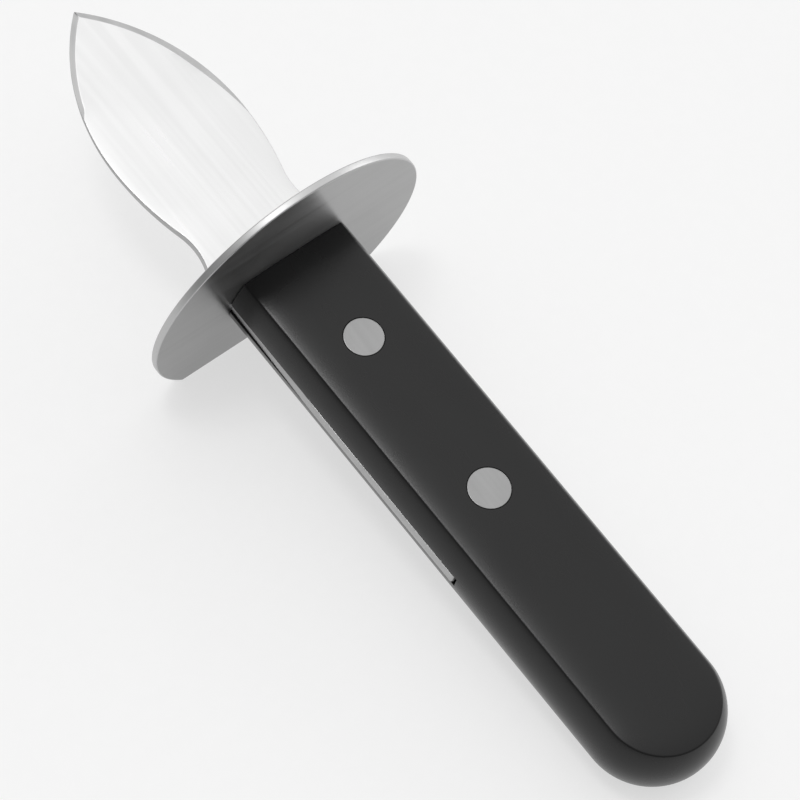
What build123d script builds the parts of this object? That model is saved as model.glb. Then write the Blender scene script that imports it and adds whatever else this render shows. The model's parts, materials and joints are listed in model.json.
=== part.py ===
from build123d import *

import math
import os

# Oyster knife: a leaf-shaped blade with a partial tang, a round guard, a slotted handle and two
# rivets. Every piece is first modelled lengthwise: +X runs from the guard to the blade's tip,
# +Z out of the upper broad face, Y across, and x = 0 is the guard's face against the handle.
# At the end the whole knife is laid down as it rests on a table. Lengths are in millimetres.

# Guard: a thin disc square to the knife, with one flat cut across the bottom of its rim
guard_diameter = 50.0
guard_thickness = 1.2
guard_flat_cut = 7.6
guard_rim_rounding = 0.2

# Handle: flat above and below, with barrel-shaped sides and a half-round butt
handle_length = 98.2
handle_width = 22.4
handle_thickness = 13.0
side_draw = 1.9
roll_off_width = 2.0
roll_off_drop = 0.4

# Tang: the rear of the blade's plate, flush with the handle's sides along its rear part
tang_length = 54.0
tang_thickness = 2.1
tang_relief = 0.5
tang_taper_length = 20.5
tang_corner_radius = 0.5

# Leaf: shoulders that seat on the guard, a neck, a swell to the widest place and a point
shoulder_step = 1.7
shoulder_length = 2.3
neck_radius = 11.0
neck_draw = 2.3
leaf_width = 23.7
swell_length = 16.6
point_length = 26.8
tip_radius = 0.4
leaf_mid_thickness = 1.15
leaf_tip_thickness = 0.7

# Ground bevels beside the point, on both broad faces
bevel_edge_thickness = 0.2
bevel_angle = 15.0
left_bevel_length = 15.7
right_bevel_length = 25.5

# Rivets: a pin half driven into a tube half, both heads flush with the handle
front_rivet_place = 17.2
rear_rivet_end_margin = 6.8
front_rivet_head_diameter = 6.3
rear_rivet_head_diameter = 6.7
rivet_head_thickness = 1.2
rivet_tube_diameter = 4.0
rivet_pin_diameter = 2.6
rivet_pin_end_gap = 0.5

# Clearances, each on one side, and the length by which cuts run past what they cut
slot_fit = 0.05
slot_end_gap = 0.6
rivet_fit = 0.05
cut_overrun = 1.0

# Derived sizes
guard_radius = guard_diameter / 2
guard_flat_drop = guard_radius - guard_flat_cut
handle_half_width = handle_width / 2
handle_half_thickness = handle_thickness / 2
crease_half_width = handle_half_width - side_draw
crease_height = handle_half_thickness - roll_off_drop
flat_half_width = crease_half_width - roll_off_width
butt_place = handle_length - handle_half_width
tang_half_thickness = tang_thickness / 2
tang_front_half_width = handle_half_width - tang_relief
rear_rivet_place = tang_length - rear_rivet_end_margin
guard_slot_half_width = tang_front_half_width + slot_fit
leaf_half_width = leaf_width / 2
neck_half_width = leaf_half_width - neck_draw
shoulder_half_width = max(neck_half_width, guard_slot_half_width) + shoulder_step
shoulder_place = guard_thickness + shoulder_length
flare_rise = shoulder_half_width - neck_half_width
flare_run = math.sqrt(neck_radius**2 - (neck_radius - flare_rise) ** 2)
neck_place = shoulder_place + flare_run
widest_place = neck_place + swell_length
tip_place = widest_place + point_length


def arc_radius(run, rise):
    """Radius of an arc that starts along the run and has risen by rise at its end."""
    return (run**2 + rise**2) / (2 * rise)


# The point's edge is one arc, level at the widest place, and the swell's arc meets the neck's
point_radius = arc_radius(point_length, leaf_half_width)
swell_radius = arc_radius(swell_length, neck_draw) - neck_radius


def leaf_side():
    """One side of the leaf's outline, from the shoulder to the tip."""
    neck_centre = Vector(neck_place, neck_half_width + neck_radius)
    swell_centre = Vector(widest_place, leaf_half_width - swell_radius)
    towards_neck = (neck_centre - swell_centre).normalized()
    meeting = swell_centre + towards_neck * swell_radius
    flare = RadiusArc((shoulder_place, shoulder_half_width), meeting, -neck_radius)
    swell = TangentArc((widest_place, leaf_half_width), meeting, tangent=(-1, 0))
    point = TangentArc((widest_place, leaf_half_width), (tip_place, 0), tangent=(1, 0))
    return flare + swell + point


def tang_side():
    """One side of the tang's outline, from the middle of its rear end to the shoulder."""
    return Polyline(
        (-tang_length, 0),
        (-tang_length, handle_half_width),
        (-tang_taper_length, handle_half_width),
        (0, tang_front_half_width),
        (guard_thickness, tang_front_half_width),
        (guard_thickness, shoulder_half_width),
        (shoulder_place, shoulder_half_width),
    )


def plate_outline():
    """The whole plate seen from above, with its tip and the tang's rear corners rounded."""
    half = tang_side() + leaf_side()
    outline = make_face(half + mirror(half, about=Plane.XZ))
    corners = outline.vertices().sort_by(Axis.X)
    outline = fillet(corners[-1], tip_radius)
    rear = outline.vertices().filter_by(lambda v: v.X < -tang_length + tang_corner_radius)
    return fillet(rear.filter_by(lambda v: abs(v.Y) > tang_corner_radius), tang_corner_radius)


def plate_thickness_form():
    """The plate's side profile, drawn across its width: even along the tang, hollow to the tip."""
    leaf_length = tip_place - guard_thickness
    upper = ThreePointArc(
        (guard_thickness, tang_half_thickness),
        (guard_thickness + leaf_length / 2, leaf_mid_thickness / 2),
        (tip_place, leaf_tip_thickness / 2),
    )
    past_tip = tip_place + cut_overrun
    past_tang = -tang_length - cut_overrun
    front = Line((tip_place, leaf_tip_thickness / 2), (past_tip, leaf_tip_thickness / 2))
    nose = Line((past_tip, leaf_tip_thickness / 2), (past_tip, 0))
    rear = Polyline(
        (past_tip, 0),
        (past_tang, 0),
        (past_tang, tang_half_thickness),
        (guard_thickness, tang_half_thickness),
    )
    half = make_face(upper + front + nose + rear)
    profile = half + mirror(half, about=Plane.XZ)
    reach = max(shoulder_half_width, leaf_half_width, handle_half_width) + cut_overrun
    return extrude(Plane.XZ * profile, amount=reach, both=True)


def bevel_cutter(bevel_length):
    """The waste above a cone that follows the point's left edge, back from the tip."""
    edge_height = bevel_edge_thickness / 2
    slope = math.tan(math.radians(bevel_angle))
    outside = point_radius + cut_overrun
    inside = point_radius - (tang_half_thickness - edge_height) / slope
    wedge = Polyline(
        (outside, edge_height - cut_overrun * slope),
        (outside, tang_half_thickness),
        (inside, tang_half_thickness),
        close=True,
    )
    tip_turn = math.asin(point_length / point_radius)
    start_turn = math.asin((point_length - bevel_length) / point_radius)
    past_tip_turn = tip_turn + cut_overrun / point_radius
    sweep = math.degrees(past_tip_turn - start_turn)
    cutter = revolve(Plane.XZ * make_face(wedge), Axis.Z, revolution_arc=sweep)
    first_direction = 90 - math.degrees(past_tip_turn)
    centre = (widest_place, leaf_half_width - point_radius, 0)
    return Pos(*centre) * Rot(0, 0, first_direction) * cutter


def rivet_places():
    """Rivet name to its place behind the guard and the diameter of its head."""
    return {
        "front": (front_rivet_place, front_rivet_head_diameter),
        "rear": (rear_rivet_place, rear_rivet_head_diameter),
    }


def upright_cylinder(radius, low, high, place):
    """A cylinder along Z between two heights, at a place behind the guard."""
    return Pos(-place, 0, (low + high) / 2) * Cylinder(radius, high - low)


def blade():
    """Leaf, neck, shoulders and tang as one plate, bevelled beside the point and drilled."""
    plate = extrude(plate_outline(), amount=tang_half_thickness, both=True)
    plate = plate & plate_thickness_form()
    left = bevel_cutter(left_bevel_length)
    right = mirror(bevel_cutter(right_bevel_length), about=Plane.XZ)
    for cutter in (left, right):
        plate = plate - cutter - mirror(cutter, about=Plane.XY)
    hole_radius = rivet_tube_diameter / 2 + rivet_fit
    for place, _ in rivet_places().values():
        plate -= upright_cylinder(hole_radius, -tang_thickness, tang_thickness, place)
    return plate


def guard():
    """The disc between the handle and the blade's shoulders, slotted for the tang."""
    disc = extrude(Plane.YZ * Circle(guard_radius), amount=guard_thickness)
    waste = Box(guard_diameter, guard_diameter, guard_diameter)
    disc -= Pos(0, 0, -guard_flat_drop - guard_radius) * waste
    rim = disc.edges().filter_by(Plane.YZ)
    disc = fillet(rim, guard_rim_rounding)
    slot = Box(
        2 * (guard_thickness + cut_overrun),
        2 * guard_slot_half_width,
        tang_thickness + 2 * slot_fit,
    )
    return disc - slot


def handle_half_section():
    """Half of the handle's section: local x runs outwards from the middle, local y upwards."""
    side = ThreePointArc(
        (crease_half_width, -crease_height),
        (handle_half_width, 0),
        (crease_half_width, crease_height),
    )
    top_roll = TangentArc(
        (flat_half_width, handle_half_thickness),
        (crease_half_width, crease_height),
        tangent=(1, 0),
    )
    bottom_roll = mirror(top_roll, about=Plane.XZ)
    middle = Polyline(
        (flat_half_width, -handle_half_thickness),
        (0, -handle_half_thickness),
        (0, handle_half_thickness),
        (flat_half_width, handle_half_thickness),
    )
    return make_face(side + top_roll + bottom_roll + middle)


def handle():
    """The section carried back to the butt and turned half round there, then slotted and bored."""
    section = Plane.YZ * handle_half_section()
    left = extrude(section, amount=-butt_place)
    butt = Pos(-butt_place, 0, 0) * revolve(section, Axis.Z, revolution_arc=180)
    body = left + mirror(left, about=Plane.XZ) + butt
    slot_length = tang_length + slot_end_gap
    slot = Box(
        slot_length + cut_overrun,
        handle_width + cut_overrun,
        tang_thickness + 2 * slot_fit,
    )
    body -= Pos((cut_overrun - slot_length) / 2, 0, 0) * slot
    bore_radius = rivet_tube_diameter / 2 + rivet_fit
    outside = handle_half_thickness + cut_overrun
    head_floor = handle_half_thickness - rivet_head_thickness
    for place, head_diameter in rivet_places().values():
        seat_radius = head_diameter / 2 + rivet_fit
        body -= upright_cylinder(bore_radius, -outside, outside, place)
        body -= upright_cylinder(seat_radius, head_floor, outside, place)
        body -= upright_cylinder(seat_radius, -outside, -head_floor, place)
    return body


def rivet_pin(place, head_diameter):
    """The half with the head on the upper face and the solid pin."""
    head_floor = handle_half_thickness - rivet_head_thickness
    pin_end = -head_floor + rivet_pin_end_gap
    head = upright_cylinder(head_diameter / 2, head_floor, handle_half_thickness, place)
    pin = upright_cylinder(rivet_pin_diameter / 2, pin_end, head_floor, place)
    return head + pin


def rivet_tube(place, head_diameter):
    """The half with the head on the lower face and the tube that takes the pin."""
    head_floor = handle_half_thickness - rivet_head_thickness
    head = upright_cylinder(head_diameter / 2, -handle_half_thickness, -head_floor, place)
    tube = upright_cylinder(rivet_tube_diameter / 2, -head_floor, head_floor, place)
    bore = upright_cylinder(rivet_pin_diameter / 2 + rivet_fit, -head_floor, head_floor, place)
    return head + (tube - bore)


def resting_tilt():
    """Angle between the knife and the table when the guard's flat and the butt both touch it.

    The guard touches at the rounded lower edge of its face against the handle. The butt touches
    on its roll-off, whose arc is swept round the butt. Each is a round form about a centre, and
    both are to reach equally far down.
    """
    roll_radius = arc_radius(roll_off_width, roll_off_drop)
    roll_centre_drop = handle_half_thickness - roll_radius
    roll_centre_place = butt_place + flat_half_width
    rim_centre_drop = guard_flat_drop - guard_rim_rounding
    run = roll_centre_place + guard_rim_rounding
    drop = rim_centre_drop - roll_centre_drop
    extra_reach = roll_radius - guard_rim_rounding
    return math.degrees(math.atan2(drop, run) - math.asin(extra_reach / math.hypot(run, drop)))


def lay_down(pieces):
    """The pieces tilted together, with the middle of the knife's box over the origin."""
    tilt = Rot(0, -resting_tilt(), 0)
    tilted = {name: tilt * piece for name, piece in pieces.items()}
    boxes = [piece.bounding_box() for piece in tilted.values()]
    rear = min(box.min.X for box in boxes)
    front = max(box.max.X for box in boxes)
    lowest = min(box.min.Z for box in boxes)
    home = Pos(-(rear + front) / 2, 0, -lowest)
    return {name: home * piece for name, piece in tilted.items()}


def main():
    """Each piece of the knife, laid down and written under its own name."""
    pieces = {"blade": blade(), "guard": guard(), "handle": handle()}
    for name, (place, head_diameter) in rivet_places().items():
        pieces[f"{name}_rivet_pin"] = rivet_pin(place, head_diameter)
        pieces[f"{name}_rivet_tube"] = rivet_tube(place, head_diameter)
    os.makedirs("parts", exist_ok=True)
    for name, piece in lay_down(pieces).items():
        export_step(piece, f"parts/{name}.step")


main()
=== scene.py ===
import json
import math

import bmesh
import bpy
import numpy as np
from bpy.props import FloatProperty, FloatVectorProperty, PointerProperty
from mathutils import Matrix, Vector


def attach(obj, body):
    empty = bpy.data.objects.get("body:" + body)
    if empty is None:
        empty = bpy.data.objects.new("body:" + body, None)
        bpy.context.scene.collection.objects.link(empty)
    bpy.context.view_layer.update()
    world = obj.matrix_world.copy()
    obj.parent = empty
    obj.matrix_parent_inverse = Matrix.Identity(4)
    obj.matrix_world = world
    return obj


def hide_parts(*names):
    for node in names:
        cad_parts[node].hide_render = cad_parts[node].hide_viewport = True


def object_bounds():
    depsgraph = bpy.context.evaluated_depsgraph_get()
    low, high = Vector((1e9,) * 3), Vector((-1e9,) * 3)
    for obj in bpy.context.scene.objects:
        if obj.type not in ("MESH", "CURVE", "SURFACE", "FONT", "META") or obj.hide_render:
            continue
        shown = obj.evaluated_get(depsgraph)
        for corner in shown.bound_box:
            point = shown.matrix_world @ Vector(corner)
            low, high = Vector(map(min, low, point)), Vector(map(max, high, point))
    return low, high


bl_info = {
    "name": "Oyster Knife",
    "version": (1, 0, 0),
    "blender": (4, 5, 0),
    "location": "3D View > Sidebar > Oyster Knife",
    "description": "Builds an oyster knife with a disc guard, piece by piece, around its solids",
    "category": "Add Mesh",
}

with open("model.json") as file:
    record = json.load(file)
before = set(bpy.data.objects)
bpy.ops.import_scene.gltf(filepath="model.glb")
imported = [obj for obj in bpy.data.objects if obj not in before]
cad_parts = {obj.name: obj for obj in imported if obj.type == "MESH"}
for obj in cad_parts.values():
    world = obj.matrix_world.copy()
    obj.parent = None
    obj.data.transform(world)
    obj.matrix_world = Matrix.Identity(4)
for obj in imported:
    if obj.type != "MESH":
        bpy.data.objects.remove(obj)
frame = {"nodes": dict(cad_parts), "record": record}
SOLID_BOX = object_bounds()

MM = 0.001

# The knife lies tilted on its guard and its butt. Its pieces are worked out in the knife's own
# axes: x runs from the guard's face against the handle to the tip, y across, and z out of the
# upper broad face. The rows of KNIFE_AXES are those three directions in the frame.
MOUNTS = {mount["name"]: mount for mount in frame["record"]["mounts"]}
KNIFE_UP = np.array(MOUNTS["handle_top"]["axis"])
KNIFE_AXES = np.array([[KNIFE_UP[2], 0, -KNIFE_UP[0]], [0, 1, 0], KNIFE_UP])
KNIFE_TILT = math.atan2(-KNIFE_UP[0], KNIFE_UP[2])


def mesh_points(mesh):
    """The mesh's points along the knife's axes, from the frame's origin."""
    points = np.empty(len(mesh.vertices) * 3, np.float32)
    mesh.vertices.foreach_get("co", points)
    return points.reshape(-1, 3).astype(float) @ KNIFE_AXES.T


def solid_extent(node, origin=0):
    """Lowest and highest corner of a solid in the knife's axes, from an origin."""
    points = mesh_points(frame["nodes"][node].data) - origin
    return points.min(0), points.max(0)


# The knife's origin: the end of the handle at the guard, halfway through the handle
HANDLE_LOW, HANDLE_HIGH = solid_extent("handle")
KNIFE_ORIGIN = np.array([HANDLE_HIGH[0], 0, (HANDLE_LOW[2] + HANDLE_HIGH[2]) / 2])


def knife_extent(node):
    """Lowest and highest corner of a solid in the knife's axes, from the knife's origin."""
    return solid_extent(node, KNIFE_ORIGIN)


def to_frame(points):
    """Points from the knife's axes to the frame's."""
    return (points + KNIFE_ORIGIN) @ KNIFE_AXES


# Sizes that the solids give
_, HANDLE_HALF_WIDTH, HANDLE_HALF_THICKNESS = knife_extent("handle")[1]
BUTT_PLACE = -knife_extent("handle")[0][0] - HANDLE_HALF_WIDTH
GUARD_THICKNESS, GUARD_RADIUS, _ = knife_extent("guard")[1]
GUARD_FLAT_DROP = -knife_extent("guard")[0][2]
TIP_PLACE, SHOULDER_HALF_WIDTH, TANG_HALF_THICKNESS = knife_extent("blade")[1]
TANG_END = -knife_extent("blade")[0][0]
RIVET_ENDS = ("front", "rear")
PIN_EXTENTS = [knife_extent(f"{end}_rivet_pin") for end in RIVET_ENDS]
RIVET_PLACES = [(low[0] + high[0]) / 2 for low, high in PIN_EXTENTS]
HEAD_RADII = [high[1] for _, high in PIN_EXTENTS]


def length(name, description, millimetres):
    """A length that a user can change, given in millimetres and kept in metres."""
    return FloatProperty(
        name=name, description=description, default=millimetres * MM, precision=5, unit="LENGTH"
    )


def angle(name, description, degrees):
    """An angle that a user can change, given in degrees and kept in radians."""
    return FloatProperty(
        name=name, description=description, default=math.radians(degrees), unit="ROTATION"
    )


def amount(name, description, value):
    """A plain factor that a user can change."""
    return FloatProperty(name=name, description=description, default=value, precision=4)


def colour(name, description, value):
    """A linear colour that a user can change."""
    return FloatVectorProperty(
        name=name, description=description, default=value, size=3, subtype="COLOR", min=0, max=1
    )


def direction(name, description, value):
    """A direction that a user can change."""
    return FloatVectorProperty(
        name=name, description=description, default=value, size=3, subtype="DIRECTION"
    )


class BladeShape(bpy.types.PropertyGroup):
    """Sizes of the leaf and the tang that their solid's extent doesn't give."""

    leaf_width: length("Leaf width", "Across the leaf at its widest place", 23.7)
    neck_draw: length("Neck draw", "How far the neck lies inside the widest place", 2.3)
    neck_radius: length("Neck radius", "Hollow from the shoulder into the neck", 11.0)
    shoulder_length: length("Shoulder length", "Straight stretch of the shoulder", 2.3)
    swell_length: length("Swell length", "From the neck to the widest place", 16.6)
    point_length: length("Point length", "From the widest place to the unrounded tip", 26.77)
    tip_radius: length("Tip radius", "Rounding of the tip in plan", 0.4)
    middle_thickness: length("Middle thickness", "Halfway along the leaf", 1.15)
    tip_thickness: length("Tip thickness", "At the tip, before the bevels", 0.7)
    bevel_edge: length("Bevel edge", "Thickness left at the ground edge", 0.2)
    bevel_angle: angle("Bevel angle", "Slope of each bevel", 15.0)
    left_bevel: length("Left bevel", "How far back the left bevel runs", 17.2)
    left_run_out: length("Left run-out", "Stretch in which the left bevel ends", 2.5)
    left_fade: amount("Left fade", "Share of its depth that the left bevel loses", 0.45)
    left_roll_width: length("Left roll width", "Polished-over left border of the face", 3.2)
    left_roll_drop: length("Left roll drop", "How far that border falls", 0.07)
    right_bevel: length("Right bevel", "How far back the right bevel runs", 34.0)
    right_run_out: length("Right run-out", "Stretch in which the right bevel ends", 18.0)
    right_fade: amount("Right fade", "Share of its depth that the right bevel loses", 0.0)
    right_roll_width: length("Right roll width", "Polished-over right border of the face", 1.2)
    right_roll_drop: length("Right roll drop", "How far that border falls", 0.1)
    crown: length("Crown", "How far the face falls from its middle to its edges", 0.06)
    edge_rounding: length("Edge rounding", "Broken edge of the plate", 0.12)
    ground_edge_rounding: length("Ground edge rounding", "Broken edge of a bevel", 0.02)
    tang_relief: length("Tang relief", "How far the tang is drawn in at the guard", 0.5)
    tang_taper: length("Tang taper", "Where the tang has come flush", 20.5)
    tang_corner: length("Tang corner", "Rounding of the tang's rear corners", 0.5)


class GuardShape(bpy.types.PropertyGroup):
    """Sizes of the guard that its solid's extent doesn't give."""

    rim_rounding: length("Rim rounding", "Rounded edges of the rim", 0.2)
    slot_fit: length("Slot fit", "Clearance round the tang, on one side", 0.05)


class HandleShape(bpy.types.PropertyGroup):
    """Sizes of the handle that its solid's extent doesn't give."""

    side_draw: length("Side draw", "How far the crease lies inside the widest line", 1.9)
    roll_off_width: length("Roll-off width", "Rounded border beside the flat", 8.5)
    roll_off_drop: length("Roll-off drop", "How far that border falls", 0.5)
    roll_off_power: amount("Roll-off power", "How much of the fall lies near the crease", 3.6)
    front_rounding: length("Front rounding", "Broken edge against the guard", 0.25)
    crease_rounding: length("Crease rounding", "Radius along the crease", 0.5)
    slot_fit: length("Slot fit", "Clearance round the tang, on one side", 0.05)
    slot_end_gap: length("Slot end gap", "From the tang's end to the slot's end", 0.6)
    seat_chamfer: length("Seat chamfer", "Broken edge round each rivet's seat", 0.08)


class RivetShape(bpy.types.PropertyGroup):
    """Sizes of the rivets that their solids' extents don't give."""

    head_thickness: length("Head thickness", "Of each rivet's heads", 1.2)
    head_rounding: length("Head rounding", "Broken edge of a head", 0.1)
    tube_diameter: length("Tube diameter", "Outside of the tube half", 4.0)
    pin_diameter: length("Pin diameter", "Of the pin that is driven into the tube", 2.6)
    pin_end_gap: length("Pin end gap", "From the pin's end to the far head", 0.5)
    fit: length("Rivet fit", "Clearance round tube, pin and heads, on one side", 0.05)


class Finishes(bpy.types.PropertyGroup):
    """Colours and roughness of the materials."""

    leaf_colour: colour("Leaf", "Brushed faces of the blade", (0.835, 0.835, 0.835))
    leaf_roughness: amount("Leaf roughness", "Brushed faces of the blade", 0.24)
    bevel_colour: colour("Bevels", "Ground bevels and edges", (0.55, 0.55, 0.55))
    bevel_roughness: amount("Bevel roughness", "Ground bevels and edges", 0.6)
    guard_colour: colour("Guard", "Satin sheet of the guard", (0.42, 0.42, 0.42))
    guard_roughness: amount("Guard roughness", "Satin sheet of the guard", 0.32)
    guard_draw: amount("Guard draw", "How far the grain draws its reflections out", 0.85)
    rim_colour: colour("Guard's rim", "Turned rim of the guard", (0.56, 0.56, 0.56))
    rim_roughness: amount("Rim roughness", "Turned rim of the guard", 0.42)
    handle_colour: colour("Handle", "Black moulded plastic", (0.003, 0.003, 0.0031))
    handle_roughness: amount("Handle roughness", "Satin of the plastic", 0.28)
    rivet_colour: colour("Rivets", "Rivet heads ground flush", (0.35, 0.35, 0.35))
    rivet_roughness: amount("Rivet roughness", "Rivet heads ground flush", 0.38)


class Studio(bpy.types.PropertyGroup):
    """Camera, floor and lights. Only the sky's brightest side isn't in the knife's axes."""

    view_azimuth: angle("View azimuth", "0 looks along the knife's y axis", 212.992)
    view_elevation: angle("View elevation", "Above the knife's broad face", 63.524)
    view_roll: angle("View roll", "Turn of the camera about its own line of sight", 20.231)
    view_distance: length("View distance", "From the camera to the point it looks at", 586.927)
    aim_along: length("Aim along", "Point looked at, from the guard to the tip", -26.677)
    aim_across: length("Aim across", "Point looked at, across the knife", -0.682)
    lens: amount("Focal length", "In millimetres, behind a sensor of 36 mm", 175.848)
    floor_size: length("Floor size", "Side of the floor", 6000.0)
    floor_colour: colour("Floor", "Pale floor", (0.95, 0.95, 0.95))
    floor_glow: amount("Floor's own white", "Share of it that the camera sees", 0.6)
    sky_direction: direction("Brightest side", "Of the sky, in the frame", (0.33, -0.48, 1.0))
    sky_base: amount("Sky base", "Brightness at a right angle to the brightest side", -0.04)
    sky_gain: amount("Sky gain", "Brightness added towards the brightest side", 1.04)
    sky_least: amount("Least sky", "Brightness where the sky is darkest", 0.28)
    glow_gain: amount("Glow", "Brightness added towards the key lamp", 0.85)
    glow_power: amount("Glow power", "How fast the glow fades round the key lamp", 34.0)
    lamp_distance: length("Lamp distance", "From the knife's middle to each lamp", 2000.0)
    key_direction: direction("Key direction", "Towards the key lamp", (0.3, 0.11, 0.94))
    key_length: length("Key length", "Of the key lamp, along the knife", 500.0)
    key_width: length("Key width", "Of the key lamp, across the knife", 400.0)
    key_brightness: amount("Key brightness", "Of the key lamp", 7.0)
    fill_direction: direction("Fill direction", "Towards the fill lamp", (0.1, -0.94, 0.32))
    fill_length: length("Fill length", "Of the fill lamp, along the knife", 1200.0)
    fill_width: length("Fill width", "Of the fill lamp, across the knife", 900.0)
    fill_brightness: amount("Fill brightness", "Of the fill lamp", 1.6)


class KnifeSettings(bpy.types.PropertyGroup):
    """All settings of the knife."""

    blade: PointerProperty(type=BladeShape)
    guard: PointerProperty(type=GuardShape)
    handle: PointerProperty(type=HandleShape)
    rivets: PointerProperty(type=RivetShape)
    finishes: PointerProperty(type=Finishes)
    studio: PointerProperty(type=Studio)


def settings():
    """The scene's settings for the knife."""
    return bpy.context.scene.oyster_knife


# Points across half a flat face, over the leaf's polished border, over its bevel, and round the
# quarter that ends it
HALF_COLUMNS = 9
BORDER_COLUMNS = 10
BEVEL_COLUMNS = 4
EDGE_POINTS = 9
# Points along the leaf's shoulder, neck, swell, point and rounded tip
LEAF_POINTS = (4, 24, 32, 72)
TIP_POINTS = 9
# Rounds in which a bevel's width settles
BEVEL_ROUNDS = 3

# Each rivet hole lies in a cell of the sheet round it, with as many steps on each of its sides
HOLE_CELL_LENGTH = 10 * MM
HOLE_CELL_WIDTH = 9 * MM
HOLE_STEPS = 16
HOLE_POINTS = 4 * HOLE_STEPS + 1
HOLE_ROWS = 6
STATION_SPACING = 4 * MM

# Points round a broken edge, over the handle's border, round its crease and down its side, on
# its side behind the slot, along its solid rear and round its butt
ROUND_POINTS = 6
ROLL_OFF_POINTS = 17
CREASE_POINTS = 9
SIDE_POINTS = 13
BAND_POINTS = 5
REAR_POINTS = 11
BUTT_POINTS = 49
FRONT_WALL_ROWS = 4
# Shares of the way over the handle's border among which the crease's start is looked for
CREASE_SEARCH = np.linspace(0.5, 1.1, 2001)

# Points on each side of the guard, and the rings of its face as shares of the way to the rim
GUARD_SIDE_POINTS = 41
GUARD_RINGS = (*np.linspace(0, 0.98, 9), 0.995, 1.0)

# Points round a rivet, and how many roundings inside its edge a head's face has its last ring
RIVET_POINTS = 97
HEAD_RING = 1.5

# Points closer together than this are joined, and steeper turns between faces are kept sharp
WELD_DISTANCE = 0.0005 * MM
SHARP_ANGLE = math.radians(40)
BLADE_SHARP_ANGLE = math.radians(28)


def other_leg(hypotenuse, leg):
    """The other leg of a right triangle, which is 0 where the leg is too long."""
    return np.sqrt(np.maximum(hypotenuse**2 - leg**2, 0))


def arc_radius(run, rise):
    """Radius of an arc that starts along the run and has risen by rise at its end."""
    return (run**2 + rise**2) / (2 * rise)


def heading(turn):
    """The direction (cos a, sin a) of an angle a, or of each angle of several."""
    return np.stack([np.cos(turn), np.sin(turn)], axis=-1)


def arc(centre, radius, first, last, count):
    """Points centre + radius (cos a, sin a), for angles a that run evenly from first to last."""
    return centre + radius * heading(np.linspace(first, last, count))


def quarter(count):
    """Angles that run evenly over a quarter of a turn."""
    return np.linspace(0, math.pi / 2, count)


def smooth_step(low, high, value):
    """0 below low, 1 above high, and 3 s^2 - 2 s^3 of the share s between them."""
    share = np.clip((value - low) / (high - low), 0, 1)
    return share * share * (3 - 2 * share)


def grid(along, across, up):
    """A patch, or a row, of points from their coordinates, each spread over all of it."""
    return np.stack(np.broadcast_arrays(along, across, up), axis=-1)


def flipped(patch):
    """The patch mirrored to the knife's lower side."""
    return patch * (1, 1, -1)


def blend_rows(first, last, count=2):
    """A patch of rows that run evenly from one row of points to another."""
    share = np.linspace(0, 1, count)[:, None, None]
    return first + share * (last - first)


def lathe(place, profile, first=0.0, count=RIVET_POINTS):
    """A profile of (radius, height) turned about the upright line through a rivet's place."""
    turn = np.linspace(first, first + 2 * math.pi, count)
    radius, height = np.array(profile).T[:, :, None]
    return grid(place + radius * np.cos(turn), radius * np.sin(turn), height)


def hole_wall(place, profile):
    """The wall of a rivet's hole, with rings that start at the front right of its cell."""
    return lathe(place, profile, -math.pi / 4, HOLE_POINTS)


def hole_stations(front, rear):
    """Stations from front to rear, and the block of them that each rivet hole's cell takes."""
    stations, blocks = [front], []

    def go_on(end, steps=0):
        """Even steps to an end, as many as told or else of the usual spacing or less."""
        steps = steps or max(1, math.ceil((stations[-1] - end) / STATION_SPACING))
        stations.extend(np.linspace(stations[-1], end, steps + 1)[1:])

    for place in RIVET_PLACES:
        cell_front = place + HOLE_CELL_LENGTH / 2
        go_on(cell_front)
        blocks.append(slice(len(stations) - 1, len(stations) + HOLE_STEPS))
        go_on(cell_front - HOLE_CELL_LENGTH, HOLE_STEPS)
    go_on(rear)
    return np.array(stations), blocks


def pierced(sheet, middle, blocks, rings):
    """The sheet's patches, with a round hole in each block of its middle columns.

    Round a hole the patch is edge + share * (ring - edge), where edge runs once about the block
    and ring is the hole's ring, both with the same number of points.
    """
    patches = [sheet[:, : middle.start + 1], sheet[:, middle.stop - 1 :]]
    row = 0
    for block, ring in zip(blocks, rings):
        patches.append(sheet[row : block.start + 1, middle])
        cell = sheet[block, middle]
        sides = [cell[0, :-1], cell[:-1, -1], cell[-1, :0:-1], cell[::-1, 0]]
        patches.append(blend_rows(np.concatenate(sides), ring, HOLE_ROWS))
        row = block.stop - 1
    patches.append(sheet[row:, middle])
    return patches


def add_object(name, data, place=Matrix()):
    """A new object in the scene, at a place and turn that a matrix gives."""
    added = bpy.data.objects.new(name, data)
    added.matrix_world = place
    bpy.context.scene.collection.objects.link(added)
    return added


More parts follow.
